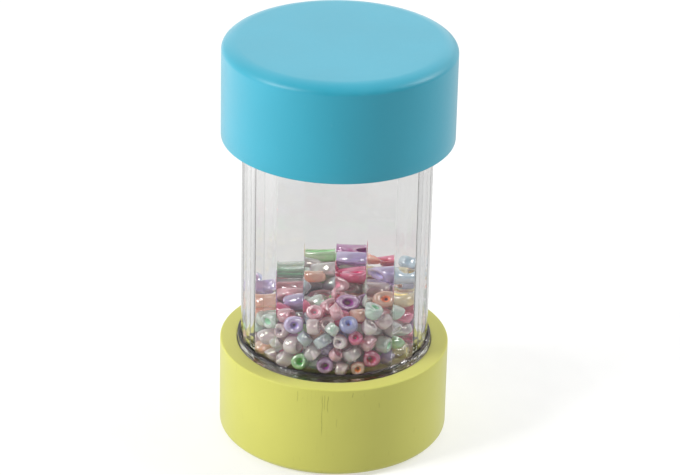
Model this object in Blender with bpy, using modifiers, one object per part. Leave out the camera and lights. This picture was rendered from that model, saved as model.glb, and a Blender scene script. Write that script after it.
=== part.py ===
"""A small hand shaker: two turned, painted wooden ends, a clear faceted barrel closed
by two clear end plates, and a loose heap of glass beads inside.

Metres, +Z up. The origin is the centre of the foot, on the surface it stands on.
The shaker's axis is Z, and its front, where a corner between two inner facets faces
out, is towards -Y.
"""

import math
import random

import bmesh
import bpy
import numpy as np
from mathutils import Vector

# ---- driving dimensions -------------------------------------------------------------
CAP_RADIUS = 0.0250        # both wooden ends
CAP_HEIGHT = 0.02170
EDGE_IN = 0.0036           # soft edge at the far end of each: how far in it reaches,
EDGE_DOWN = 0.0021         # and how far down the side
RIM_EASE = 0.00025         # broken edge where a wooden end meets the barrel
BARREL_SHOWN = 0.0484      # clear length between the two wooden ends
SOCKET_RADIUS = 0.0214     # shallow seat turned into each wooden end
SOCKET_DEPTH = 0.0033

PLATE_RADIUS = 0.02115     # clear plate that closes the barrel, with a raised lip
PLATE_BELOW = 0.0030       # how far the plate reaches into the seat
FLOOR_BELOW = 0.0007       # its inner face lies this far below the wooden rim
LIP_STANDS = 0.00135       # its lip stands this far proud of the wooden rim
LIP_INSIDE = 0.02056
LIP_ROUND = 0.00028

BARREL_RADIUS = 0.02044
FACETS = 18                # flat faces of the bore
FACET_APOTHEM = 0.0183
BARREL_GAP = 0.0003        # between the barrel's end and the plate's inner face

BEADS_IN_HEAP = 366        # the whole charge
BEADS_MADE = 55            # those of it that are separate pieces here
BEAD_LEAST = 0.00305       # across the smallest and the largest bead
BEAD_MOST = 0.00405
BEAD_SLACK = 0.985         # a bead's size against the room it takes in the heap
HEAP_WALL = 0.01816        # the heap's room inside the bore
HEAP_LEAN = (0.13, 0.06)   # the way the heap was tipped as it settled
HEAP_SEED = 6
HEAP_SLOPE = 0.78          # slope of the part of the heap that is made

TURN_STEPS = 72
BEAD_STEPS = 10

TOTAL_HEIGHT = 2 * CAP_HEIGHT + BARREL_SHOWN
FLOOR_Z = CAP_HEIGHT - FLOOR_BELOW

# ---- colours ------------------------------------------------------------------------
SKY_BLUE = (0.105, 0.445, 0.620)
LIME = (0.560, 0.590, 0.120)
CLEAR = (0.90, 0.91, 0.91)
BEAD_COLOURS = {
    "pink": (0.80, 0.35, 0.45),
    "hot_pink": (0.75, 0.10, 0.27),
    "lilac": (0.45, 0.32, 0.68),
    "purple": (0.27, 0.13, 0.48),
    "mint": (0.38, 0.70, 0.52),
    "green": (0.24, 0.68, 0.25),
    "pearl": (0.80, 0.78, 0.76),
    "frost": (0.66, 0.68, 0.66),
    "peach": (0.88, 0.42, 0.26),
    "sky": (0.34, 0.43, 0.66),
    "yellow": (0.78, 0.70, 0.34),
    "slate": (0.36, 0.44, 0.52),
}
BEAD_TONES = """
    mint lilac pearl mint pearl peach pearl pink
    pearl pink peach lilac lilac slate green peach
    green pearl hot_pink pearl pearl lilac green purple
    pearl peach pearl hot_pink frost pearl pink frost
    pearl frost frost lilac purple pink pink peach
    green pearl mint frost pink peach frost sky
    slate slate pearl hot_pink mint pearl mint
""".split()                # of the beads made, lowest first
OUT_LOOK = (0.0, -0.883, 0.469)   # from the heap's front face, outwards and up
HOLES_OUT = {              # beads whose hole looks out at the front: (sideways, up) degrees
    83: (-14, 27),
    0: (-4, 15),
    53: (-6, 28),
    52: (2, 12),
    65: (12, 10),
    352: (6, 22),
    286: (2, 30),
    195: (-2, 46),
    194: (-24, 30),
    348: (-8, 36),
    325: (0, 36),
    283: (-6, 34),
    281: (16, 32),
    292: (-10, 34),
}


# ---- helpers ------------------------------------------------------------------------
def clear_scene():
    for obj in list(bpy.data.objects):
        bpy.data.objects.remove(obj, do_unlink=True)
    for group in list(bpy.data.collections):
        bpy.data.collections.remove(group)


def new_collection(name):
    group = bpy.data.collections.new(name)
    bpy.context.scene.collection.children.link(group)
    return group


def material(name, colour, roughness, transmission=0.0):
    made = bpy.data.materials.new(name)
    made.use_nodes = True
    shader = made.node_tree.nodes["Principled BSDF"]
    shader.inputs["Base Color"].default_value = (*colour, 1.0)
    shader.inputs["Roughness"].default_value = roughness
    shader.inputs["Metallic"].default_value = 0.0
    shader.inputs["Transmission Weight"].default_value = transmission
    made.diffuse_color = (*colour, 1.0)
    return made


def profile_object(name, points, closed, group, steps):
    """A profile in the XZ plane, turned about Z by a Screw modifier."""
    mesh = bpy.data.meshes.new(name)
    rim = bmesh.new()
    corners = [rim.verts.new((x, 0.0, z)) for x, z in points]
    for a, b in zip(corners, corners[1:] + corners[:1] * closed):
        rim.edges.new((a, b))
    rim.to_mesh(mesh)
    rim.free()
    made = bpy.data.objects.new(name, mesh)
    group.objects.link(made)
    turn = made.modifiers.new("turned", "SCREW")
    turn.axis = "Z"
    turn.angle = math.tau
    turn.steps = turn.render_steps = steps
    turn.use_merge_vertices = True
    turn.merge_threshold = 0.00001
    turn.use_smooth_shade = True
    return made


def arc(centre, across, tall, start, end, steps):
    """Points of a round or oval fillet, from start to end in degrees."""
    angles = [math.radians(start + (end - start) * k / steps) for k in range(steps + 1)]
    return [
        (centre[0] + across * math.cos(a), centre[1] + tall * math.sin(a))
        for a in angles
    ]


def evaluated_mesh(obj):
    graph = bpy.context.evaluated_depsgraph_get()
    return bpy.data.meshes.new_from_object(obj.evaluated_get(graph))


# ---- the wooden ends ----------------------------------------------------------------
def base_cap(group):
    """Foot of the shaker: a turned block with a shallow seat in its top."""
    rim, seat = CAP_HEIGHT, CAP_HEIGHT - SOCKET_DEPTH
    points = [
        (0.0, seat),
        (SOCKET_RADIUS, seat),
        (SOCKET_RADIUS, rim - RIM_EASE),
        (SOCKET_RADIUS + RIM_EASE, rim),
        (CAP_RADIUS - RIM_EASE, rim),
        (CAP_RADIUS, rim - RIM_EASE),
        *arc((CAP_RADIUS - EDGE_IN, EDGE_DOWN), EDGE_IN, EDGE_DOWN, 0, -90, 6),
        (0.0, 0.0),
    ]
    return profile_object("base_cap", points, False, group, TURN_STEPS)


def top_cap(group):
    """The other wooden end, the same block turned over."""
    low = TOTAL_HEIGHT - CAP_HEIGHT
    points = [
        (0.0, TOTAL_HEIGHT),
        *arc((CAP_RADIUS - EDGE_IN, TOTAL_HEIGHT - EDGE_DOWN), EDGE_IN, EDGE_DOWN, 90, 0, 6),
        (CAP_RADIUS, low + RIM_EASE),
        (CAP_RADIUS - RIM_EASE, low),
        (SOCKET_RADIUS + RIM_EASE, low),
        (SOCKET_RADIUS, low + RIM_EASE),
        (SOCKET_RADIUS, low + SOCKET_DEPTH),
        (0.0, low + SOCKET_DEPTH),
    ]
    return profile_object("top_cap", points, False, group, TURN_STEPS)


# ---- the clear barrel and the plates that close it ----------------------------------
def plate_profile():
    """Right half of the lower plate: a disc with a raised lip round the barrel's end."""
    under, lip = CAP_HEIGHT - PLATE_BELOW, CAP_HEIGHT + LIP_STANDS
    return [
        (0.0, FLOOR_Z),
        (LIP_INSIDE, FLOOR_Z),
        (LIP_INSIDE, lip - LIP_ROUND),
        (LIP_INSIDE + 0.3 * LIP_ROUND, lip),
        *arc((PLATE_RADIUS - LIP_ROUND, lip - LIP_ROUND), LIP_ROUND, LIP_ROUND, 90, 0, 2),
        (PLATE_RADIUS, under + LIP_ROUND),
        (PLATE_RADIUS - LIP_ROUND, under),
        (0.0, under),
    ]


def lower_end_plate(group):
    return profile_object("lower_end_plate", plate_profile(), False, group, TURN_STEPS)


def upper_end_plate(group):
    """The same plate turned over, so its profile runs the other way."""
    points = [(x, TOTAL_HEIGHT - z) for x, z in reversed(plate_profile())]
    return profile_object("upper_end_plate", points, False, group, TURN_STEPS)


def clear_barrel(group, cutters):
    """A round tube whose bore is cut with flat faces."""
    low = FLOOR_Z + BARREL_GAP
    long = TOTAL_HEIGHT - 2 * low
    points = [
        (0.0, low + long),
        (BARREL_RADIUS, low + long),
        (BARREL_RADIUS, low),
        (0.0, low),
    ]
    made = profile_object("clear_barrel", points, False, group, TURN_STEPS)

    bpy.ops.mesh.primitive_cylinder_add(
        vertices=FACETS,
        radius=FACET_APOTHEM / math.cos(math.pi / FACETS),
        depth=long + 0.01,
        location=(0.0, 0.0, low + long / 2),
    )
    bore = bpy.context.active_object
    bore.name = "faceted_bore"
    for owner in list(bore.users_collection):
        owner.objects.unlink(bore)
    cutters.objects.link(bore)
    bore.hide_render = True
    bore.display_type = "WIRE"

    cut = made.modifiers.new("bore", "BOOLEAN")
    cut.operation = "DIFFERENCE"
    cut.object = bore
    cut.solver = "EXACT"
    return made


# ---- the beads ----------------------------------------------------------------------
def settled_heap(count, least, most, wall, lean, seed):
    """(centres, diameters) of balls that have come to rest on a flat floor at z = 0,
    inside a round wall: a loose start, a slow fall that leans to one side, and an easing
    of every overlap."""
    rng = random.Random(seed)
    size = np.array([rng.uniform(least, most) for _ in range(count)])
    pitch, spots, layer = most * 1.03, [], 0
    while len(spots) < count:
        turn = rng.uniform(0, math.tau)
        c, s = math.cos(turn), math.sin(turn)
        level = []
        for a in range(-8, 9):
            for b in range(-8, 9):
                x, y = (a + b % 2 / 2) * pitch, b * pitch * math.sqrt(3) / 2
                if math.hypot(x, y) < wall - most / 2:
                    level.append((c * x - s * y, s * x + c * y))
        rng.shuffle(level)
        for x, y in level:
            spots.append([x, y, most * (0.7 + layer + rng.uniform(-0.3, 0.3))])
        layer += 1
    p = np.array(spots[:count])
    reach = (size[:, None] + size[None]) / 2
    room = wall - size / 2
    falling, easing = 1100, 900
    for step in range(falling + easing):
        if step % 10 == 0:
            apart = np.sqrt(((p[:, None] - p[None]) ** 2).sum(2))
            i, j = np.nonzero(np.triu(apart < reach * 1.4, 1))
            touch = reach[i, j]
        if step < falling:
            drop = most * 0.02 * (1 - 0.9 * step / falling)
            p += np.array([lean[0], lean[1], -1.0]) * drop
        for _ in range(2):
            d = p[i] - p[j]
            far = np.sqrt((d * d).sum(1)) + 1e-12
            push = d * (np.clip(touch - far, 0, None) / far * 0.45)[:, None]
            for k in range(3):
                p[:, k] += np.bincount(i, push[:, k], count)
                p[:, k] -= np.bincount(j, push[:, k], count)
            out = np.maximum(np.hypot(p[:, 0], p[:, 1]), 1e-9)
            p[:, :2] *= np.minimum(1, room / out)[:, None]
            p[:, 2] = np.maximum(p[:, 2], size / 2)
    return p, size


def bead_directions(count, seed):
    """The way each bead's hole points. Most beads lie on their side as seen from the
    front, and the few in HOLES_OUT look straight out."""
    rng = random.Random(seed + 1)
    out = Vector(OUT_LOOK)
    found = []
    for k in range(count):
        up, turn = rng.uniform(-1, 1), rng.uniform(0, math.tau)
        flat = math.sqrt(1 - up * up)
        way = Vector((flat * math.cos(turn), flat * math.sin(turn), up))
        if abs(way.dot(out)) > 0.45:
            way = (way - out * (way.dot(out) * 0.7)).normalized()
        if k in HOLES_OUT:
            side, lift = (math.radians(angle) for angle in HOLES_OUT[k])
            way = Vector((
                math.sin(side) * math.cos(lift),
                -math.cos(side) * math.cos(lift),
                math.sin(lift),
            ))
        found.append(way)
    return found


def made_beads(centres):
    """Which beads of the heap are made: the slope of it that leans on the front of the
    bore, lowest first."""
    foot = np.array([0.0, -HEAP_WALL])
    back = np.hypot(*(centres[:, :2] - foot).T)
    chosen = np.argsort(centres[:, 2] + HEAP_SLOPE * back)[:BEADS_MADE]
    return sorted(chosen.tolist(), key=lambda k: centres[k, 2])


def bead_mesh(group):
    """One bead that is a unit across: a short rounded ring with a straight hole."""
    points = [
        (0.300, 0.375),
        (0.482, 0.125),
        (0.482, -0.125),
        (0.300, -0.375),
        (0.150, -0.320),
        (0.150, 0.320),
    ]
    turned = profile_object("bead_profile", points, True, group, BEAD_STEPS)
    bpy.context.view_layer.update()
    mesh = evaluated_mesh(turned)
    bpy.data.objects.remove(turned, do_unlink=True)
    mesh.name = "bead"
    return mesh


def beads(group):
    centres, sizes = settled_heap(
        BEADS_IN_HEAP, BEAD_LEAST, BEAD_MOST, HEAP_WALL, HEAP_LEAN, HEAP_SEED
    )
    ways = bead_directions(BEADS_IN_HEAP, HEAP_SEED)
    shape = bead_mesh(group)
    made = []
    for number, k in enumerate(made_beads(centres), 1):
        # each bead keeps its own mesh, brought to its size, so that its scale is 1
        name = f"bead_{number:02d}"
        mesh = shape.copy()
        mesh.name = name
        room = sizes[k] * BEAD_SLACK
        sized = bmesh.new()
        sized.from_mesh(mesh)
        bmesh.ops.scale(sized, vec=(room, room, room), verts=sized.verts)
        sized.to_mesh(mesh)
        sized.free()
        bead = bpy.data.objects.new(name, mesh)
        group.objects.link(bead)
        bead.rotation_mode = "QUATERNION"
        bead.rotation_quaternion = ways[k].to_track_quat("Z", "Y")
        bead.location = (*centres[k, :2], FLOOR_Z + centres[k, 2] + 0.00005)
        colour = BEAD_COLOURS[BEAD_TONES[number - 1]]
        mesh.materials.append(material(name, colour, 0.15, 0.3))
        mesh.shade_smooth()
        mesh.set_sharp_from_angle(angle=math.radians(50))
        made.append(bead)
    return made


def main():
    clear_scene()
    group = new_collection("hand_shaker")
    cutters = new_collection("cutters")
    cutters.hide_render = True

    shell = bpy.data.objects.new("shell_axis", None)
    shell.empty_display_size = 0.01
    group.objects.link(shell)

    fixed = [
        (base_cap(group), LIME, 0.55, 0.0),
        (top_cap(group), SKY_BLUE, 0.40, 0.0),
        (lower_end_plate(group), CLEAR, 0.05, 1.0),
        (upper_end_plate(group), CLEAR, 0.05, 1.0),
        (clear_barrel(group, cutters), CLEAR, 0.03, 1.0),
    ]
    for obj, colour, roughness, transmission in fixed:
        obj.data.materials.append(material(obj.name, colour, roughness, transmission))
        obj.parent = shell
    beads(group)


main()
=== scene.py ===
"""Looks of a small hand shaker: painted turned ends, a clear barrel with a faceted bore,
clear end plates, and a charge of lustred glass beads. Metres, +Z up, front towards -Y."""

import math
import random

import bmesh
import bpy
import numpy as np
from mathutils import Matrix, Vector


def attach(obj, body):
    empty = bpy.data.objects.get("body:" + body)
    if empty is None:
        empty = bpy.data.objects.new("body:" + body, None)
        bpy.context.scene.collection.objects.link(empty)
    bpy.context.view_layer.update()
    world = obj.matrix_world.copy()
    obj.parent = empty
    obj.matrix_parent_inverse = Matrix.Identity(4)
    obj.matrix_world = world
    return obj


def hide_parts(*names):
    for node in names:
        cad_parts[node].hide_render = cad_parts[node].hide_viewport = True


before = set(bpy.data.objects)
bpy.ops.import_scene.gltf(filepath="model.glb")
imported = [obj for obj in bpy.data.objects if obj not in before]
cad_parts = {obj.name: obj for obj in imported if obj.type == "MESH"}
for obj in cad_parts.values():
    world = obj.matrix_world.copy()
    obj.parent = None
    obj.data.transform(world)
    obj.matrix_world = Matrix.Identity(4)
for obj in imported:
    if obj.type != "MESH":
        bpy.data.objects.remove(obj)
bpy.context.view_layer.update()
scene = bpy.context.scene

# ---- sizes, as in the solids --------------------------------------------------------
CAP_RADIUS = 0.0250
CAP_HEIGHT = 0.02170
EDGE_IN = 0.0036
EDGE_DOWN = 0.0021
RIM_EASE = 0.00032
TOTAL_HEIGHT = 0.0918
SOCKET_RADIUS = 0.02123
SOCKET_DEPTH = 0.0033
PLATE_RADIUS = 0.02115
PLATE_BELOW = 0.0030
FLOOR_Z = CAP_HEIGHT - 0.0007
LIP_STANDS = 0.00135
LIP_INSIDE = 0.02056
FLOOR_RADIUS = 0.0185
BARREL_RADIUS = 0.02044
FACETS = 18
FACET_APOTHEM = 0.0183
BARREL_GAP = 0.0003
BEADS_IN_HEAP = 366
BEADS_MADE = 55
BEAD_LEAST = 0.00305
BEAD_MOST = 0.00405
HEAP_WALL = 0.01816
HEAP_LEAN = (0.13, 0.06)
HEAP_SEED = 6
HEAP_SLOPE = 0.78
OUT_LOOK = (0.0, -0.883, 0.469)
HOLES_OUT = {
    83: (-14, 27),
    0: (-4, 15),
    53: (-6, 28),
    52: (2, 12),
    65: (12, 10),
    352: (6, 22),
    286: (2, 30),
    195: (-2, 46),
    194: (-24, 30),
    348: (-8, 36),
    325: (0, 36),
    283: (-6, 34),
    281: (16, 32),
    292: (-10, 34),
    364: (8, 30),
}
# a bead that lies a little lower than the heap's rule puts it: centre and diameter
SETTLED = {333: ((0.0156, 0.0055, 0.0165), 0.0032)}


# ---- camera -------------------------------------------------------------------------
def make_camera():
    pitch, yaw, roll = (math.radians(v) for v in (26.3203, 0.081, 1.2801))
    ahead = Vector((math.sin(yaw) * math.cos(pitch), math.cos(yaw) * math.cos(pitch), -math.sin(pitch)))
    side = Vector((math.cos(yaw), -math.sin(yaw), 0.0))
    up = side.cross(ahead)
    x = side * math.cos(roll) + up * math.sin(roll)
    y = up * math.cos(roll) - side * math.sin(roll)
    data = bpy.data.cameras.new("camera")
    data.sensor_fit = "HORIZONTAL"
    data.sensor_width = 36.0
    data.lens = 163.83
    data.clip_start, data.clip_end = 0.01, 50.0
    camera = bpy.data.objects.new("camera", data)
    scene.collection.objects.link(camera)
    turn = Matrix((x, y, -ahead)).transposed().to_4x4()
    turn.translation = Vector((0.0, -0.59949, 0.34224))
    camera.matrix_world = turn
    scene.camera = camera


make_camera()


# ---- mesh helpers -------------------------------------------------------------------
def link(name, bm, materials, smooth_below=40):
    mesh = bpy.data.meshes.new(name)
    bmesh.ops.recalc_face_normals(bm, faces=bm.faces)
    bm.to_mesh(mesh)
    bm.free()
    for m in materials:
        mesh.materials.append(m)
    mesh.shade_smooth()
    mesh.set_sharp_from_angle(angle=math.radians(smooth_below))
    obj = bpy.data.objects.new(name, mesh)
    scene.collection.objects.link(obj)
    return obj


def arc(centre, radius, start, end, steps, tall=None):
    """A round fillet, or an oval one that is as tall as told."""
    tall = radius if tall is None else tall
    angles = [math.radians(start + (end - start) * k / steps) for k in range(steps + 1)]
    return [(centre[0] + radius * math.cos(a), centre[1] + tall * math.sin(a)) for a in angles]


def lathe(profile, steps):
    """A bmesh of a profile, (radius, height) from axis to axis, turned about Z."""
    bm = bmesh.new()
    rings = []
    for r, z in profile:
        if r < 1e-9:
            rings.append([bm.verts.new((0.0, 0.0, z))])
        else:
            rings.append([
                bm.verts.new((r * math.cos(math.tau * k / steps), r * math.sin(math.tau * k / steps), z))
                for k in range(steps)
            ])
    for a, b in zip(rings, rings[1:]):
        for k in range(steps):
            n = (k + 1) % steps
            if len(a) == 1:
                bm.faces.new((a[0], b[k], b[n]))
            elif len(b) == 1:
                bm.faces.new((a[k], b[0], a[n]))
            else:
                bm.faces.new((a[k], b[k], b[n], a[n]))
    return bm


def flat_run(r0, r1, z, steps):
    return [(r0 + (r1 - r0) * k / steps, z) for k in range(1, steps)]


# ---- material helpers ---------------------------------------------------------------
class Nodes:
    """A short way to write a material's nodes."""

    def __init__(self, name):
        self.made = bpy.data.materials.new(name)
        self.made.use_nodes = True
        self.tree = self.made.node_tree
        self.tree.nodes.clear()

    def add(self, kind, **values):
        node = self.tree.nodes.new(kind)
        for key, value in values.items():
            setattr(node, key, value)
        return node

    def join(self, a, b):
        self.tree.links.new(a, b)

    def put(self, node, **inputs):
        for key, value in inputs.items():
            socket = node.inputs[key.replace("_", " ")]
            if isinstance(value, bpy.types.NodeSocket):
                self.join(value, socket)
            else:
                socket.default_value = value
        return node

    def math(self, op, a, b=None, clamp=False):
        node = self.add("ShaderNodeMath", operation=op, use_clamp=clamp)
        for k, value in enumerate((a, b)):
            if isinstance(value, bpy.types.NodeSocket):
                self.join(value, node.inputs[k])
            elif value is not None:
                node.inputs[k].default_value = value
        return node.outputs[0]

    def noise(self, where, scale, detail=3.0, rough=0.5, stretch=None, shift=(0.0, 0.0, 0.0)):
        if stretch is not None:
            place = self.add("ShaderNodeMapping")
            self.join(where, place.inputs["Vector"])
            place.inputs["Scale"].default_value = stretch
            place.inputs["Location"].default_value = shift
            where = place.outputs[0]
        node = self.add("ShaderNodeTexNoise")
        self.put(node, Vector=where, Scale=scale, Detail=detail, Roughness=rough)
        return node.outputs["Fac"]

    def ramp(self, value, stops, smooth=True):
        node = self.add("ShaderNodeValToRGB")
        node.color_ramp.interpolation = "EASE" if smooth else "LINEAR"
        while len(node.color_ramp.elements) < len(stops):
            node.color_ramp.elements.new(0.5)
        for element, (place, colour) in zip(node.color_ramp.elements, stops):
            element.position = place
            element.color = (*colour, 1.0) if len(colour) == 3 else colour
        self.join(value, node.inputs["Fac"])
        return node.outputs["Color"]

    def mix(self, amount, a, b, blend="MIX"):
        node = self.add("ShaderNodeMix", data_type="RGBA", blend_type=blend)
        for socket, value in ((node.inputs[0], amount), (node.inputs[6], a), (node.inputs[7], b)):
            if isinstance(value, bpy.types.NodeSocket):
                self.join(value, socket)
            else:
                socket.default_value = value if isinstance(value, float) else (*value, 1.0)
        return node.outputs[2]

    def bump(self, height, strength, distance, under=None):
        node = self.add("ShaderNodeBump")
        self.put(node, Height=height, Strength=strength, Distance=distance)
        if under is not None:
            self.join(under, node.inputs["Normal"])
        return node.outputs["Normal"]

    def finish(self, shader):
        out = self.add("ShaderNodeOutputMaterial")
        self.join(shader, out.inputs["Surface"])
        return self.made


def painted_wood(name, colour, worn, pore, rough, grain, gloss, splits=()):
    """Paint over turned wood whose grain runs along Z: hairlines and short pores that
    show through, faint rings from the brush, and thin paint along the edges. The splits
    are fine open lines in the front of the side: how far across, top, bottom, depth."""
    n = Nodes(name)
    where = n.add("ShaderNodeTexCoord").outputs["Object"]
    parts = n.add("ShaderNodeSeparateXYZ")
    n.join(where, parts.inputs[0])
    x, y, z = parts.outputs
    radius = n.math("SQRT", n.math("ADD", n.math("MULTIPLY", x, x), n.math("MULTIPLY", y, y)))

    cloud = n.noise(where, 55.0, 3.0)
    speck = n.noise(where, 900.0, 4.0, 0.6)
    hair = n.noise(where, 1.0, 3.0, 0.55, (2300.0, 2300.0, 95.0), (-3.2, 0.0, 0.0))
    brush = n.noise(where, 1.0, 2.0, 0.5, (60.0, 60.0, 2600.0))
    pores = n.noise(where, 1.0, 1.0, 0.5, (1500.0, 1500.0, 300.0), (-2.4, 0.0, 0.0))
    pit = n.ramp(pores, [(0.735, (0, 0, 0)), (0.775, (1, 1, 1))])

    tone = n.mix(0.5, colour, n.ramp(cloud, [
        (0.30, tuple(c * 0.955 for c in colour)), (0.70, tuple(min(1.0, c * 1.045) for c in colour))]))
    # the grain opens in a narrow patch of the side and is nearly filled elsewhere
    open_x = n.ramp(n.math("ABSOLUTE", n.math("ADD", x, 0.0026)), [(0.0007, (1, 1, 1)), (0.0030, (0.14, 0.14, 0.14))])
    open_y = n.ramp(n.math("MULTIPLY", y, -40.0), [(0.2, (0.14, 0.14, 0.14)), (0.6, (1, 1, 1))])
    open_z = n.ramp(n.math("MULTIPLY", z, 40.0), [(0.34, (0.25, 0.25, 0.25)), (0.56, (1, 1, 1))])
    opened = n.math("MULTIPLY", n.math("MULTIPLY", open_x, open_y), open_z)
    tone = n.mix(n.math("MULTIPLY", n.math("MULTIPLY", n.ramp(hair, [(0.56, (0, 0, 0)), (0.74, (1, 1, 1))]), opened), grain), tone, pore)
    tone = n.mix(n.math("MULTIPLY", n.math("MULTIPLY", pit, n.math("MAXIMUM", opened, 0.3)), grain * 1.4), tone, pore)
    tone = n.mix(n.math("MULTIPLY", n.ramp(speck, [(0.62, (0, 0, 0)), (0.80, (1, 1, 1))]), 0.05), tone, worn)

    # a few lines of grain the paint hasn't filled
    split = 0.0
    for across, top, bottom, deep in splits:
        wander = n.math("MULTIPLY", n.math("SUBTRACT", n.noise(where, 1.0, 1.0, 0.5, (0.0, 0.0, 420.0), (across * 900, 0.0, 0.0)), 0.5), 0.0006)
        beside = n.math("ABSOLUTE", n.math("ADD", n.math("SUBTRACT", x, across), wander))
        line = n.ramp(n.math("MULTIPLY", beside, 1000.0), [(0.05, (1, 1, 1)), (0.15, (0, 0, 0))])
        down = n.math("DIVIDE", n.math("SUBTRACT", z, bottom), top - bottom)
        length = n.ramp(down, [(0.0, (0, 0, 0)), (0.25, (1, 1, 1)), (0.85, (1, 1, 1)), (1.0, (0, 0, 0))])
        broken = n.ramp(hair, [(0.34, (0.35, 0.35, 0.35)), (0.56, (1, 1, 1))])
        line = n.math("MULTIPLY", n.math("MULTIPLY", line, length), n.math("MULTIPLY", broken, deep))
        split = n.math("MAXIMUM", split, n.math("MULTIPLY", line, n.math("LESS_THAN", y, 0.0)))
    if splits:
        tone = n.mix(split, tone, (colour[0] * 0.42, colour[1] * 0.42, colour[2] * 0.14))

    # thin paint where a hand rubs: the outermost edge of the wood
    rim = n.math("MULTIPLY", n.ramp(radius, [(0.0, (0, 0, 0)), (0.02465, (0, 0, 0)), (0.02497, (1, 1, 1))]), 1.0)
    flat = n.add("ShaderNodeNewGeometry")
    slope = n.add("ShaderNodeSeparateXYZ")
    n.join(flat.outputs["Normal"], slope.inputs[0])
    edge = n.math("MULTIPLY", n.math("ABSOLUTE", slope.outputs[2]), n.math("SUBTRACT", 1.0, n.math("ABSOLUTE", slope.outputs[2])))
    edge = n.math("MULTIPLY", n.math("MULTIPLY", edge, 4.0), n.ramp(cloud, [(0.42, (0, 0, 0)), (0.66, (1, 1, 1))]))
    tone = n.mix(n.math("MULTIPLY", edge, 0.07), tone, worn)

    shine = n.add("ShaderNodeMapRange")
    n.put(shine, Value=speck)
    shine.inputs["To Min"].default_value = rough - 0.05
    shine.inputs["To Max"].default_value = rough + 0.07

    normal = n.bump(brush, 0.10, 0.00006)
    normal = n.bump(n.math("MULTIPLY", hair, opened), 0.22 * grain / 0.3, 0.00008, normal)
    normal = n.bump(n.math("SUBTRACT", 1.0, n.math("MULTIPLY", pit, opened)), 0.4 * grain / 0.3, 0.0001, normal)
    normal = n.bump(speck, 0.12, 0.00006, normal)

    shader = n.add("ShaderNodeBsdfPrincipled")
    n.put(shader, Base_Color=tone, Roughness=shine.outputs[0], Normal=normal)
    shader.inputs["Specular IOR Level"].default_value = gloss
    shader.inputs["Sheen Weight"].default_value = 0.54
    shader.inputs["Sheen Roughness"].default_value = 0.40
    return n.finish(shader.outputs[0])


def bare_seat(name):
    """Bare end grain, painted dark as shade round the front of the barrel's foot, where the
    beads keep light off, and painted with a shadow along the wall of the seat."""
    n = Nodes(name)
    where = n.add("ShaderNodeTexCoord").outputs["Object"]
    parts = n.add("ShaderNodeSeparateXYZ")
    n.join(where, parts.inputs[0])
    x, y, _ = parts.outputs
    radius = n.math("SQRT", n.math("ADD", n.math("MULTIPLY", x, x), n.math("MULTIPLY", y, y)))
    rings = n.add("ShaderNodeTexWave", wave_type="RINGS", rings_direction="Z")
    n.put(rings, Vector=where, Scale=160.0, Distortion=3.0, Detail=2.0)
    blot = n.noise(where, 240.0, 3.0)
    wood = n.mix(0.35, n.ramp(blot, [(0.3, (0.42, 0.35, 0.26)), (0.7, (0.54, 0.46, 0.35))]), n.ramp(
        rings.outputs["Fac"], [(0.2, (0.36, 0.30, 0.21)), (0.8, (0.56, 0.48, 0.37))]))
    # a dark colour painted in as shade, a little uneven
    seat_shade = n.ramp(blot, [(0.3, (0.010, 0.008, 0.011)), (0.7, (0.026, 0.022, 0.028))])
    # painted shade reaches further in at the front and left
    shade_reach = n.math("ADD", radius, n.math("MULTIPLY", n.math("SUBTRACT", blot, 0.5), 0.0012))
    shade_reach = n.math("ADD", shade_reach, n.math("ADD", n.math("MULTIPLY", y, -0.90), n.math("MULTIPLY", x, -0.25)))
    # painted shade towards the front and left, and a painted shadow line in the gap by the seat's wall
    seat_shade_mask = n.math("MAXIMUM", n.ramp(n.math("MULTIPLY", shade_reach, 40.0), [(0.90, (0, 0, 0)), (1.00, (1, 1, 1))]),
                   n.ramp(n.math("MULTIPLY", radius, 40.0), [(0.830, (0, 0, 0)), (0.840, (0.8, 0.8, 0.8))]))
    tone = n.mix(seat_shade_mask, wood, seat_shade)
    shader = n.add("ShaderNodeBsdfPrincipled")
    n.put(shader, Base_Color=tone, Normal=n.bump(blot, 0.3, 0.0001))
    shader.inputs["Roughness"].default_value = 0.6
    return n.finish(shader.outputs[0])


def cement(name, least, most):
    """Clear cement between the clear pieces and under them. It carries light on without
    bending it, apart from what its specks and its dried edge hold back."""
    n = Nodes(name)
    where = n.add("ShaderNodeTexCoord").outputs["Object"]
    speck = n.noise(where, 1500.0, 2.0)
    shader = n.add("ShaderNodeBsdfPrincipled")
    n.put(shader, Base_Color=n.ramp(speck, [(0.4, (0.34, 0.31, 0.35)), (0.7, (0.70, 0.68, 0.70))]))
    n.put(shader, Alpha=n.ramp(speck, [(0.60, (least,) * 3), (0.78, (most,) * 3)]))
    shader.inputs["Roughness"].default_value = 0.35
    return n.finish(shader.outputs[0])


def part_wetted(name, least, most):
    """The barrel's foot. It mirrors where air lies under it, and lets light down into
    the cement in the patches that are wetted."""
    n = Nodes(name)
    where = n.add("ShaderNodeTexCoord").outputs["Object"]
    parts = n.add("ShaderNodeSeparateXYZ")
    n.join(where, parts.inputs[0])
    x, y, _ = parts.outputs
    radius = n.math("SQRT", n.math("ADD", n.math("MULTIPLY", x, x), n.math("MULTIPLY", y, y)))
    # the cement has run along the edge, so the patches are long that way
    along = n.math("MULTIPLY", n.math("ARCTAN2", x, n.math("MULTIPLY", y, -1.0)), 0.004)
    run = n.add("ShaderNodeCombineXYZ")
    n.put(run, X=radius, Y=along)
    patch = n.noise(run.outputs[0], 1300.0, 1.0)
    shader = n.add("ShaderNodeBsdfPrincipled")
    n.put(shader, Alpha=n.ramp(patch, [(0.38, (least,) * 3), (0.66, (most,) * 3)]))
    shader.inputs["Base Color"].default_value = (0.90, 0.89, 0.91, 1.0)
    shader.inputs["Roughness"].default_value = 0.02
    shader.inputs["IOR"].default_value = 1.49
    shader.inputs["Transmission Weight"].default_value = 1.0
    return n.finish(lets_light_in(n, shader, 1.0, (0.95, 0.95, 0.95)))


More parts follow.
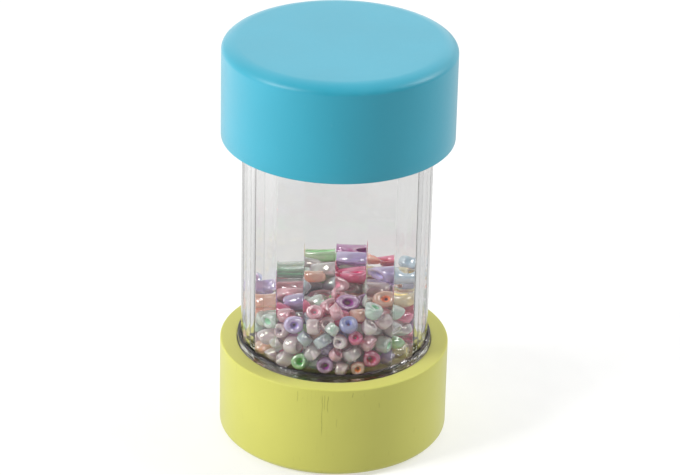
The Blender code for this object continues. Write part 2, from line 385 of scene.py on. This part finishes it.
def lets_light_in(n, shader, share, tint):
    """The surface as given, but lamps and soft light pass it straight, so what is
    inside is lit through it."""
    path = n.add("ShaderNodeLightPath")
    soft = n.math("MAXIMUM", path.outputs["Is Shadow Ray"], path.outputs["Is Diffuse Ray"])
    clear = n.add("ShaderNodeBsdfTransparent")
    clear.inputs["Color"].default_value = (*tint, 1.0)
    mix = n.add("ShaderNodeMixShader")
    n.join(n.math("MULTIPLY", soft, share), mix.inputs[0])
    n.join(shader.outputs[0], mix.inputs[1])
    n.join(clear.outputs[0], mix.inputs[2])
    return mix.outputs[0]


def clear_plastic(name, tint, line=None):
    """Polished clear plastic with a few hair scratches, and one faint line along it,
    left from its making, that many degrees round from the front."""
    n = Nodes(name)
    where = n.add("ShaderNodeTexCoord").outputs["Object"]
    scratch = n.noise(where, 1.0, 2.0, 0.5, (700.0, 700.0, 60.0))
    mark = n.ramp(scratch, [(0.70, (0, 0, 0)), (0.74, (1, 1, 1))])
    shine = n.add("ShaderNodeMapRange")
    n.put(shine, Value=mark)
    shine.inputs["To Min"].default_value = 0.008
    shine.inputs["To Max"].default_value = 0.06
    shader = n.add("ShaderNodeBsdfPrincipled")
    n.put(shader, Base_Color=(*tint, 1.0), Roughness=shine.outputs[0])
    if line is not None:
        parts = n.add("ShaderNodeSeparateXYZ")
        n.join(where, parts.inputs[0])
        x, y, _ = parts.outputs
        c, s = math.cos(math.radians(line)), math.sin(math.radians(line))
        beside = n.math("ABSOLUTE", n.math("ADD", n.math("MULTIPLY", x, c), n.math("MULTIPLY", y, s)))
        ahead = n.math("GREATER_THAN", n.math("ADD", n.math("MULTIPLY", x, s), n.math("MULTIPLY", y, -c)), 0.0195)
        near = n.ramp(n.math("MULTIPLY", beside, 1000.0), [(0.05, (1, 1, 1)), (0.17, (0, 0, 0))])
        n.put(shader, Base_Color=n.mix(n.math("MULTIPLY", near, ahead), tint, tuple(c * 0.70 for c in tint)))
    shader.inputs["IOR"].default_value = 1.49
    shader.inputs["Transmission Weight"].default_value = 1.0
    return n.finish(lets_light_in(n, shader, 1.0, tuple(0.5 + 0.5 * c for c in tint)))


def bead_glass(name, colour, milk, film, shade=None):
    """Milky glass with a pearly lustre, lit from within. Its tone differs a little from
    bead to bead."""
    n = Nodes(name)
    where = n.add("ShaderNodeTexCoord").outputs["Object"]
    own = n.add("ShaderNodeAttribute", attribute_name="tone").outputs["Fac"]
    swirl = n.noise(where, 700.0, 2.0)
    fine = n.noise(where, 3200.0, 2.0)
    pale = tuple(c + (1.0 - c) * 0.07 for c in colour)
    deep = shade or tuple(c * 0.76 for c in colour)
    tone = n.mix(own, deep, pale)
    tone = n.mix(n.math("MULTIPLY", n.ramp(swirl, [(0.45, (0, 0, 0)), (0.70, (1, 1, 1))]), 0.30), tone, pale)
    shine = n.add("ShaderNodeMapRange")
    n.put(shine, Value=fine)
    shine.inputs["To Min"].default_value = 0.06
    shine.inputs["To Max"].default_value = 0.13
    normal = n.bump(swirl, 0.05, 0.00006)
    shader = n.add("ShaderNodeBsdfPrincipled")
    n.put(shader, Base_Color=tone, Roughness=shine.outputs[0], Normal=normal)
    shader.inputs["IOR"].default_value = 1.54
    shader.inputs["Transmission Weight"].default_value = 1.0 - milk
    shader.inputs["Subsurface Weight"].default_value = 0.40
    shader.inputs["Subsurface Radius"].default_value = (1.0, 0.9, 0.9)
    shader.inputs["Subsurface Scale"].default_value = 0.0008
    shader.inputs["Coat Weight"].default_value = 1.0
    shader.inputs["Coat IOR"].default_value = 1.95
    shader.inputs["Coat Roughness"].default_value = 0.11
    shader.inputs["Thin Film Thickness"].default_value = film
    shader.inputs["Thin Film IOR"].default_value = 1.70
    through = tuple((c + (1.0 - c) * 0.30) * w for c, w in zip(colour, (0.96, 0.66, 0.74)))
    return n.finish(lets_light_in(n, shader, 0.38, through))


def bead_lining(name, colour):
    """The colour that lines a bead's hole, a little uneven."""
    n = Nodes(name)
    where = n.add("ShaderNodeTexCoord").outputs["Object"]
    patch = n.noise(where, 1600.0, 3.0)
    tone = n.ramp(patch, [(0.35, tuple(c * 0.84 for c in colour)), (0.65, tuple(min(1.0, c * 1.12) for c in colour))])
    shader = n.add("ShaderNodeBsdfPrincipled")
    n.put(shader, Base_Color=tone, Normal=n.bump(patch, 0.2, 0.00005))
    shader.inputs["Roughness"].default_value = 0.38
    return n.finish(lets_light_in(n, shader, 0.15, tuple(c + (1.0 - c) * 0.30 for c in colour)))


# ---- the painted ends ---------------------------------------------------------------
LIME = (0.704, 0.694, 0.144)
SKY = (0.026, 0.407, 0.560)
lime_paint = painted_wood("lime_paint", LIME, (0.78, 0.77, 0.42), (0.42, 0.40, 0.06), 0.52, 0.30, 0.44, (
    (-0.0022, 0.0210, 0.0100, 0.55), (-0.0017, 0.0208, 0.0165, 0.35), (-0.0010, 0.0206, 0.0160, 0.50),
    (0.0043, 0.0211, 0.0198, 0.80), (-0.0074, 0.0210, 0.0180, 0.30), (0.0068, 0.0208, 0.0198, 0.30),
    (0.0010, 0.0150, 0.0125, 0.22), (0.0100, 0.0180, 0.0165, 0.22)))
sky_paint = painted_wood("sky_paint", SKY, (0.42, 0.68, 0.76), (0.030, 0.30, 0.42), 0.43, 0.06, 0.50)
# the seats' bare wood, with shade painted into its colour
seat_wood_and_shade = bare_seat("seat_wood_and_shade")


def cap_profile():
    """The lower end, from the axis inside its seat round to the axis under its foot."""
    rim, seat = CAP_HEIGHT, CAP_HEIGHT - SOCKET_DEPTH
    return [
        (0.0, seat),
        *flat_run(0.0, SOCKET_RADIUS, seat, 6),
        (SOCKET_RADIUS, seat),
        (SOCKET_RADIUS, seat + 0.0004),
        (SOCKET_RADIUS, rim - 0.0004),
        (SOCKET_RADIUS, rim - RIM_EASE),
        *arc((SOCKET_RADIUS + RIM_EASE, rim - RIM_EASE), RIM_EASE, 180, 90, 4)[1:],
        *flat_run(SOCKET_RADIUS + RIM_EASE, CAP_RADIUS - RIM_EASE, rim, 4),
        *arc((CAP_RADIUS - RIM_EASE, rim - RIM_EASE), RIM_EASE, 90, 0, 5),
        *[(CAP_RADIUS, rim - RIM_EASE - (rim - RIM_EASE - EDGE_DOWN) * k / 8) for k in range(1, 8)],
        *arc((CAP_RADIUS - EDGE_IN, EDGE_DOWN), EDGE_IN, 0, -90, 22, EDGE_DOWN),
        *flat_run(CAP_RADIUS - EDGE_IN, 0.0, 0.0, 6),
        (0.0, 0.0),
    ]


def wooden_end(name, turned_over, paint):
    """A painted end whose seat is bare wood."""
    profile = [(r, TOTAL_HEIGHT - z if turned_over else z) for r, z in cap_profile()]
    bm = lathe(profile, 240)
    for face in bm.faces:
        middle = face.calc_center_median()
        deep = TOTAL_HEIGHT - middle.z if turned_over else middle.z
        inside = math.hypot(middle.x, middle.y) < SOCKET_RADIUS + 0.00002
        face.material_index = int(inside and CAP_HEIGHT - 0.004 < deep < CAP_HEIGHT - 0.00035)
    return link(name, bm, [paint, seat_wood_and_shade], 50)


base = wooden_end("base_painted", False, lime_paint)
top = wooden_end("top_painted", True, sky_paint)

# ---- the clear pieces ---------------------------------------------------------------
clear_wall = clear_plastic("clear_wall", (0.965, 0.965, 0.962), -47.9)
clear_plate = clear_plastic("clear_plate", (0.90, 0.89, 0.91))
clear_cement = cement("clear_cement", 0.01, 0.12)
dried_cement = cement("dried_cement", 0.62, 0.80)
wetted_foot = part_wetted("wetted_foot", 0.45, 1.00)


def plate_profile():
    """The lower plate, from the axis of its floor over the lip to the axis underneath."""
    under, lip = CAP_HEIGHT - PLATE_BELOW, CAP_HEIGHT + LIP_STANDS
    return [
        (0.0, FLOOR_Z),
        *flat_run(0.0, FLOOR_RADIUS, FLOOR_Z, 5),
        (FLOOR_RADIUS, FLOOR_Z),
        (LIP_INSIDE, FLOOR_Z),
        (LIP_INSIDE, FLOOR_Z + 0.0003),
        *arc((LIP_INSIDE + 0.00011, lip - 0.00011), 0.00011, 180, 90, 5),
        *arc((PLATE_RADIUS - 0.00014, lip - 0.00014), 0.00014, 90, 0, 6),
        (PLATE_RADIUS, CAP_HEIGHT - 0.00015),
        *arc((PLATE_RADIUS - 0.0003, under + 0.0003), 0.0003, 0, -90, 5),
        *flat_run(PLATE_RADIUS - 0.0003, 0.0, under, 5),
        (0.0, under),
    ]


def end_plate(name, turned_over):
    """A clear plate, cemented to the barrel inside its lip and to the wood underneath."""
    profile = [(r, TOTAL_HEIGHT - z if turned_over else z) for r, z in plate_profile()]
    bm = lathe(profile, 240)
    for face in bm.faces:
        middle = face.calc_center_median()
        height = TOTAL_HEIGHT - middle.z if turned_over else middle.z
        out = math.hypot(middle.x, middle.y)
        under_barrel = out > FLOOR_RADIUS and height < FLOOR_Z + 0.00001 and height > CAP_HEIGHT - 0.002
        beside_barrel = out < LIP_INSIDE + 0.00001 and height > FLOOR_Z + 0.00001
        in_seat = height < CAP_HEIGHT - 0.0004 and not (out < LIP_INSIDE + 0.00001 and height > CAP_HEIGHT - 0.002)
        face.material_index = int(under_barrel or beside_barrel or in_seat)
        if out < LIP_INSIDE + 0.00012 and height > CAP_HEIGHT + LIP_STANDS - 0.00010:
            face.material_index = 2
    return link(name, bm, [clear_plate, clear_cement, dried_cement], 50)


lower = end_plate("lower_plate_clear", False)
upper = end_plate("upper_plate_clear", True)


def barrel_mesh():
    """A round tube with a faceted bore. The corners between facets are softened, and a
    corner faces the front."""
    low = FLOOR_Z + BARREL_GAP
    high = TOTAL_HEIGHT - low
    step = math.tau / FACETS
    soft = math.radians(0.55)
    corner = FACET_APOTHEM / math.cos(step / 2)
    half_flat = FACET_APOTHEM * math.tan(step / 2)
    inset = corner * soft
    fillet = inset / math.tan(step / 2)
    centre = (FACET_APOTHEM - fillet) / math.cos(step / 2)
    spots = []
    for k in range(FACETS):
        mid = -math.pi / 2 + k * step
        # the softened corner, then the flat up to the next one
        for j in range(-4, 4):
            a = mid + step / 2 * j / 4
            spots.append((centre * math.cos(mid) + fillet * math.cos(a), centre * math.sin(mid) + fillet * math.sin(a)))
        face = mid + step / 2
        across = Vector((-math.sin(face), math.cos(face)))
        out = Vector((math.cos(face), math.sin(face))) * FACET_APOTHEM
        reach = half_flat - inset
        for share in (-1.0, -0.93, -0.72, -0.48, -0.24, 0.0, 0.24, 0.48, 0.72, 0.93):
            p = out + across * reach * share
            spots.append((p.x, p.y))
    lip = CAP_HEIGHT + LIP_STANDS
    heights = [low, low + 0.0004, lip, (low + high) / 2, TOTAL_HEIGHT - lip, high - 0.0004, high]
    bm = bmesh.new()
    inner = [[bm.verts.new((x, y, z)) for x, y in spots] for z in heights]
    outer = []
    for z in heights:
        r = BARREL_RADIUS - (0.00012 if z in (low, high) else 0.0)
        outer.append([
            bm.verts.new((r * x / math.hypot(x, y), r * y / math.hypot(x, y), z)) for x, y in spots
        ])
    count = len(spots)
    for k in range(count):
        n = (k + 1) % count
        for a, b in zip(range(len(heights)), range(1, len(heights))):
            skin = bm.faces.new((outer[a][k], outer[a][n], outer[b][n], outer[b][k]))
            skin.material_index = int(a < 2 or b > len(heights) - 3)
            bm.faces.new((inner[a][k], inner[b][k], inner[b][n], inner[a][n]))
        bm.faces.new((outer[0][k], inner[0][k], inner[0][n], outer[0][n])).material_index = 2
        bm.faces.new((outer[-1][k], outer[-1][n], inner[-1][n], inner[-1][k])).material_index = 2
    return bm


barrel = link("barrel_clear", barrel_mesh(), [clear_wall, clear_cement, wetted_foot], 14)

for piece, node, slot in (
    (base, "base_cap", "lime_paint"),
    (top, "top_cap", "sky_paint"),
    (lower, "lower_end_plate", "clear_plastic"),
    (upper, "upper_end_plate", "clear_plastic"),
    (barrel, "clear_barrel", "clear_plastic"),
):
    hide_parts(node)
    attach(piece, "shell")


# ---- the beads ----------------------------------------------------------------------
def settled_heap(count, least, most, wall, lean, seed):
    """(centres, diameters) of balls at rest on a flat floor inside a round wall. It is
    the same heap as the solids'."""
    rng = random.Random(seed)
    size = np.array([rng.uniform(least, most) for _ in range(count)])
    pitch, spots, layer = most * 1.03, [], 0
    while len(spots) < count:
        turn = rng.uniform(0, math.tau)
        c, s = math.cos(turn), math.sin(turn)
        level = []
        for a in range(-8, 9):
            for b in range(-8, 9):
                x, y = (a + b % 2 / 2) * pitch, b * pitch * math.sqrt(3) / 2
                if math.hypot(x, y) < wall - most / 2:
                    level.append((c * x - s * y, s * x + c * y))
        rng.shuffle(level)
        for x, y in level:
            spots.append([x, y, most * (0.7 + layer + rng.uniform(-0.3, 0.3))])
        layer += 1
    p = np.array(spots[:count])
    reach = (size[:, None] + size[None]) / 2
    room = wall - size / 2
    falling, easing = 1100, 900
    for step in range(falling + easing):
        if step % 10 == 0:
            apart = np.sqrt(((p[:, None] - p[None]) ** 2).sum(2))
            i, j = np.nonzero(np.triu(apart < reach * 1.4, 1))
            touch = reach[i, j]
        if step < falling:
            drop = most * 0.02 * (1 - 0.9 * step / falling)
            p += np.array([lean[0], lean[1], -1.0]) * drop
        for _ in range(2):
            d = p[i] - p[j]
            far = np.sqrt((d * d).sum(1)) + 1e-12
            push = d * (np.clip(touch - far, 0, None) / far * 0.45)[:, None]
            for k in range(3):
                p[:, k] += np.bincount(i, push[:, k], count)
                p[:, k] -= np.bincount(j, push[:, k], count)
            out = np.maximum(np.hypot(p[:, 0], p[:, 1]), 1e-9)
            p[:, :2] *= np.minimum(1, room / out)[:, None]
            p[:, 2] = np.maximum(p[:, 2], size / 2)
    return p, size


def bead_directions(count, seed):
    rng = random.Random(seed + 1)
    out = Vector(OUT_LOOK)
    found = []
    for k in range(count):
        up, turn = rng.uniform(-1, 1), rng.uniform(0, math.tau)
        flat = math.sqrt(1 - up * up)
        way = Vector((flat * math.cos(turn), flat * math.sin(turn), up))
        if abs(way.dot(out)) > 0.45:
            way = (way - out * (way.dot(out) * 0.7)).normalized()
        if k in HOLES_OUT:
            side, lift = (math.radians(angle) for angle in HOLES_OUT[k])
            way = Vector((
                math.sin(side) * math.cos(lift),
                -math.cos(side) * math.cos(lift),
                math.sin(lift),
            ))
        found.append(way)
    return found


def made_beads(centres):
    foot = np.array([0.0, -HEAP_WALL])
    back = np.hypot(*(centres[:, :2] - foot).T)
    chosen = np.argsort(centres[:, 2] + HEAP_SLOPE * back)[:BEADS_MADE]
    return sorted(chosen.tolist(), key=lambda k: centres[k, 2])


# body colour, lining colour, share of milk in the glass, lustre film in nanometres
BEADS = {
    "pink": ((0.95, 0.58, 0.64), (0.74, 0.30, 0.40), 0.52, 0.0),
    "hot_pink": ((0.95, 0.13, 0.36), (0.60, 0.01, 0.14), 0.54, 0.0),
    "lilac": ((0.69, 0.59, 0.88), (0.38, 0.30, 0.60), 0.52, 0.0),
    "purple": ((0.62, 0.33, 0.62), (0.30, 0.02, 0.27), 0.50, 0.0),
    "mint": ((0.78, 0.92, 0.82), (0.38, 0.74, 0.50), 0.48, 0.0),
    "green": ((0.50, 0.95, 0.42), (0.05, 0.46, 0.06), 0.56, 0.0),
    "pearl": ((0.91, 0.82, 0.82), (0.60, 0.51, 0.54), 0.56, 420.0),
    "frost": ((0.86, 0.82, 0.82), (0.74, 0.67, 0.70), 0.40, 420.0),
    "peach": ((1.00, 0.69, 0.53), (1.00, 0.36, 0.19), 0.54, 0.0),
    "sky": ((0.56, 0.60, 0.92), (0.28, 0.31, 0.62), 0.54, 0.0),
    "yellow": ((0.96, 0.90, 0.62), (0.90, 0.74, 0.26), 0.44, 0.0),
    "slate": ((0.70, 0.77, 0.82), (0.30, 0.38, 0.48), 0.46, 420.0),
    "orchid": ((0.88, 0.44, 0.82), (0.40, 0.03, 0.36), 0.50, 0.0),
    "leaf": ((0.76, 0.98, 0.66), (0.20, 0.60, 0.20), 0.54, 0.0),
    "ice": ((0.70, 0.87, 0.96), (0.34, 0.50, 0.62), 0.46, 0.0),
}
# the other end of a tone that wanders from bead to bead
SHADES = {"pearl": (0.72, 0.55, 0.58), "frost": (0.62, 0.61, 0.57)}
SHARES = (0.11, 0.06, 0.12, 0.05, 0.13, 0.04, 0.19, 0.13, 0.06, 0.05, 0.04, 0.03, 0.0, 0.0, 0.0)
MADE_TONES = """
    mint lilac pearl mint pearl peach pearl pink
    pearl pink pearl lilac lilac slate green peach
    green pearl hot_pink pearl pearl lilac green purple
    pearl peach pearl hot_pink frost pearl pink frost
    pearl frost frost lilac purple pink pink peach
    green pearl mint frost pink peach frost sky
    slate slate pearl hot_pink mint pearl mint
""".split()
SEEN_TONES = {
    "pink": (48, 116, 158, 282, 300, 307, 317, 334, 347, 348, 359, 364),
    "hot_pink": (65, 136, 195, 251, 269, 294, 299, 311, 324, 344),
    "lilac": (18, 105, 296, 304, 330, 340, 351, 352),
    "purple": (0, 292, 325),
    "mint": (4, 141, 176, 243, 249, 253, 275, 287, 295, 313, 336, 361, 362),
    "green": (83, 151),
    "pearl": (40, 53, 77, 115, 194, 206, 217, 225, 272, 280, 286, 322),
    "frost": (137, 153, 156, 177, 178, 208, 281, 337, 356),
    "peach": (52, 145, 244, 276, 277, 283, 297, 308, 331),
    "sky": (238, 261),
    "yellow": (79, 289, 298),
    "slate": (170, 227, 241, 271, 323, 338),
    "orchid": (360,),
    "leaf": (341,),
    "ice": (333, 357),
}


def bead_profile(hole):
    """(radius, height, is_lining) round a bead's section, a unit across. The hole is
    widest at its mouths and narrows towards the middle."""
    outer, long = 0.487, 0.345
    middle, half = (outer + hole) / 2, (outer - hole) / 2
    points = []
    for k in range(28):
        a = math.tau * k / 28
        c, s = math.cos(a), math.sin(a)
        h = long * math.copysign(abs(s) ** (2 / 2.5), s)
        if c > 1e-6:
            r = middle + half * c ** (2 / 2.5)
        else:
            r = middle - half * abs(c) ** (2 / 2.5)
            neck = max(0.0, 1.0 - abs(h) / (long * 0.85))
            r -= hole * 0.50 * neck * abs(c)
        points.append((r, h, c < -0.60))
    return points


def add_bead(bm, tone, centre, way, size, rng, glass, lining):
    steps = 26
    profile = bead_profile(rng.uniform(0.130, 0.158))
    spin = way.to_track_quat("Z", "Y").to_matrix()
    stretch = rng.uniform(0.93, 1.05)
    lean = (rng.uniform(-0.05, 0.05), rng.uniform(-0.05, 0.05))
    own = rng.random()
    rings = []
    for k in range(steps):
        a = math.tau * k / steps
        c, s = math.cos(a), math.sin(a)
        ring = []
        for r, h, _ in profile:
            tall = h * stretch * (1 + lean[0] * c + lean[1] * s)
            p = spin @ Vector((r * c, r * s, tall)) * size + centre
            v = bm.verts.new(p)
            v[tone] = own
            ring.append(v)
        rings.append(ring)
    count = len(profile)
    for k in range(steps):
        n = (k + 1) % steps
        for i in range(count):
            j = (i + 1) % count
            face = bm.faces.new((rings[k][i], rings[n][i], rings[n][j], rings[k][j]))
            face.material_index = lining if profile[i][2] and profile[j][2] else glass


def bead_piece(name, numbers, tones, heap, ways, body):
    """One mesh of the beads with these numbers, riding on that body."""
    used = sorted({tones[k] for k in numbers})
    bm = bmesh.new()
    layer = bm.verts.layers.float.new("tone")
    for k in numbers:
        rng = random.Random(1000 + k)
        at = used.index(tones[k]) * 2
        centre = Vector((heap[0][k][0], heap[0][k][1], FLOOR_Z + heap[0][k][2] + 0.00005))
        add_bead(bm, layer, centre, ways[k], heap[1][k] * 0.985, rng, at, at + 1)
    materials = [m for t in used for m in BEAD_MATERIALS[t]]
    obj = link(name, bm, materials, 180)
    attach(obj, body)
    return obj


BEAD_MATERIALS = {
    name: (bead_glass(f"bead_{name}", body, milk, film, SHADES.get(name)), bead_lining(f"bead_{name}_lining", inside))
    for name, (body, inside, milk, film) in BEADS.items()
}


def make_beads():
    heap = settled_heap(BEADS_IN_HEAP, BEAD_LEAST, BEAD_MOST, HEAP_WALL, HEAP_LEAN, HEAP_SEED)
    for k, (spot, across) in SETTLED.items():
        heap[0][k], heap[1][k] = spot, across
    ways = bead_directions(BEADS_IN_HEAP, HEAP_SEED)
    made = made_beads(heap[0])
    pick = random.Random(4)
    tones = pick.choices(list(BEADS), SHARES, k=BEADS_IN_HEAP)
    for name, numbers in SEEN_TONES.items():
        for k in numbers:
            tones[k] = name
    for k, name in zip(made, MADE_TONES):
        tones[k] = name
    for number, k in enumerate(made, 1):
        node = f"bead_{number:02d}"
        piece = bead_piece(f"{node}_glass", [k], tones, heap, ways, node)
        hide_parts(node)
    # the rest of the charge moves with the made bead that lies next below it
    levels = [heap[0][k][2] for k in made]
    groups = {}
    for k in range(BEADS_IN_HEAP):
        if k not in made:
            below = max(0, int(np.searchsorted(levels, heap[0][k][2])) - 1)
            groups.setdefault(below, []).append(k)
    for below, numbers in sorted(groups.items()):
        node = f"bead_{below + 1:02d}"
        bead_piece(f"charge_{below + 1:02d}", numbers, tones, heap, ways, node)


make_beads()


# ---- floor, light -------------------------------------------------------------------
def floor():
    """Pale paper. It looks white straight on, and a light grey in glass and gloss."""
    bm = bmesh.new()
    bmesh.ops.create_grid(bm, x_segments=4, y_segments=4, size=4.0)
    n = Nodes("floor_paper")
    where = n.add("ShaderNodeTexCoord").outputs["Object"]
    tooth = n.noise(where, 160.0, 3.0)
    path = n.add("ShaderNodeLightPath")
    paper = n.ramp(tooth, [(0.3, (0.945, 0.945, 0.94)), (0.7, (0.96, 0.96, 0.955))])
    camera = path.outputs["Is Camera Ray"]
    shader = n.add("ShaderNodeBsdfPrincipled")
    n.put(shader, Base_Color=n.mix(camera, n.mix(0.62, paper, (0.0, 0.0, 0.0)), n.mix(0.45, paper, (0.0, 0.0, 0.0))))
    # a wide pool of light painted into the floor's glow on the key side, which gloss and glass pick up
    parts = n.add("ShaderNodeSeparateXYZ")
    n.join(where, parts.inputs[0])
    pool = n.ramp(n.math("MULTIPLY", parts.outputs[0], -1.0), [
        (0.03, (0, 0, 0)), (0.30, (1, 1, 1)), (0.45, (1, 1, 1)), (0.75, (0, 0, 0))])
    gloss = path.outputs["Is Glossy Ray"]
    depth = n.math("ADD", 0.45, n.math("MULTIPLY", gloss, 0.20))
    # a brighter patch of painted light on the same side, which only gloss sees
    patch = n.ramp(n.math("MULTIPLY", parts.outputs[0], -1.0), [
        (0.10, (0, 0, 0)), (0.20, (1, 1, 1)), (0.45, (1, 1, 1)), (0.75, (0, 0, 0))])
    # far off it pales into the backdrop
    x, y, _ = parts.outputs
    off = n.math("SQRT", n.math("ADD", n.math("MULTIPLY", x, x), n.math("MULTIPLY", y, y)))
    far = n.ramp(n.math("MULTIPLY", off, 0.5), [(0.24, (0, 0, 0)), (0.66, (1, 1, 1))])
    cast = n.math("ADD", n.math("ADD", 0.370, n.math("MULTIPLY", far, 0.22)), n.math("MULTIPLY", pool, depth))
    cast = n.math("ADD", cast, n.math("MULTIPLY", n.math("MULTIPLY", patch, gloss), 1.1))
    strength = n.add("ShaderNodeMix", data_type="FLOAT")
    n.join(camera, strength.inputs[0])
    n.join(cast, strength.inputs[2])
    n.join(n.math("ADD", 0.56, n.math("MULTIPLY", far, 0.14)), strength.inputs[3])
    n.put(shader, Emission_Color=paper, Emission_Strength=strength.outputs[0])
    shader.inputs["Roughness"].default_value = 0.9
    shader.inputs["Specular IOR Level"].default_value = 0.1
    made = link("floor", bm, [n.finish(shader.outputs[0])])


def lamp(name, place, aim, size, power, colour=(1.0, 1.0, 1.0)):
    data = bpy.data.lights.new(name, "AREA")
    data.shape = "RECTANGLE"
    data.size, data.size_y = size
    data.energy = power
    data.color = colour
    obj = bpy.data.objects.new(name, data)
    scene.collection.objects.link(obj)
    obj.location = place
    obj.rotation_mode = "QUATERNION"
    obj.rotation_quaternion = (Vector(aim) - Vector(place)).to_track_quat("-Z", "Y")
    return obj


def studio():
    world = bpy.data.worlds.new("studio")
    scene.world = world
    world.use_nodes = True
    tree = world.node_tree
    back = tree.nodes["Background"]
    way = tree.nodes.new("ShaderNodeTexCoord")
    split = tree.nodes.new("ShaderNodeSeparateXYZ")
    tree.links.new(way.outputs["Generated"], split.inputs[0])
    ramp = tree.nodes.new("ShaderNodeMapRange")
    side = tree.nodes.new("ShaderNodeMath")
    side.operation = "MULTIPLY_ADD"
    side.inputs[1].default_value = -0.3
    tree.links.new(split.outputs[0], side.inputs[0])
    tree.links.new(split.outputs[1], side.inputs[2])
    tree.links.new(side.outputs[0], ramp.inputs["Value"])
    ramp.inputs["From Min"].default_value = -0.6
    ramp.inputs["From Max"].default_value = 0.7
    ramp.inputs["To Min"].default_value = 0.10
    ramp.inputs["To Max"].default_value = 1.00
    # the backdrop itself is pale from every side
    path = tree.nodes.new("ShaderNodeLightPath")
    seen = tree.nodes.new("ShaderNodeMath")
    seen.operation = "MAXIMUM"
    pale = tree.nodes.new("ShaderNodeMath")
    pale.operation = "MULTIPLY"
    pale.inputs[1].default_value = 0.93
    tree.links.new(path.outputs["Is Camera Ray"], pale.inputs[0])

    def sum_of(op, a, b):
        node = tree.nodes.new("ShaderNodeMath")
        node.operation = op
        for k, value in enumerate((a, b)):
            if isinstance(value, bpy.types.NodeSocket):
                tree.links.new(value, node.inputs[k])
            else:
                node.inputs[k].default_value = value
        return node.outputs[0]

    # far lamps, seen only in the polish of what lies inside the barrel: degrees round, up,
    # across, and how bright
    total = 0.0
    for turn, lift, across, bright in (
            (44, 42, 14, 24.0), (80, 58, 14, 22.0), (-20, 84, 14, 20.0), (8, 36, 13, 20.0), (-58, 62, 13, 20.0)):
        a, b = math.radians(turn), math.radians(lift)
        facing = tree.nodes.new("ShaderNodeVectorMath")
        facing.operation = "DOT_PRODUCT"
        tree.links.new(way.outputs["Generated"], facing.inputs[0])
        facing.inputs[1].default_value = (math.sin(a) * math.cos(b), -math.cos(a) * math.cos(b), math.sin(b))
        disc = tree.nodes.new("ShaderNodeMapRange")
        tree.links.new(facing.outputs["Value"], disc.inputs["Value"])
        disc.inputs["From Min"].default_value = math.cos(math.radians(across / 2 + 1))
        disc.inputs["From Max"].default_value = math.cos(math.radians(across / 2 - 1))
        disc.inputs["To Max"].default_value = bright
        total = sum_of("ADD", disc.outputs[0], total)
    polish = sum_of("MAXIMUM", path.outputs["Is Glossy Ray"], path.outputs["Is Transmission Ray"])
    # in through the wall and out again, and not through the ring at its foot as well
    deep = path.outputs["Transmission Depth"]
    behind = sum_of("MULTIPLY", sum_of("GREATER_THAN", deep, 3.5), sum_of("LESS_THAN", deep, 4.5))
    total = sum_of("MULTIPLY", total, sum_of("MULTIPLY", polish, behind))
    tree.links.new(sum_of("ADD", ramp.outputs[0], total), seen.inputs[0])
    tree.links.new(pale.outputs[0], seen.inputs[1])
    tree.links.new(seen.outputs[0], back.inputs["Strength"])
    back.inputs["Color"].default_value = (1.0, 1.0, 1.0, 1.0)
    aim = (0.0, 0.0, 0.045)
    lamp("soft_left", (-0.64, -0.34, 0.50), aim, (0.22, 0.22), 4.8)
    right = lamp("soft_right", (0.63, 0.10, 0.50), aim, (0.26, 0.32), 2.8)
    # it isn't mirrored in the clear ring
    right.visible_transmission = False


floor()
studio()
scene.view_settings.view_transform = "Standard"
scene.view_settings.look = "None"
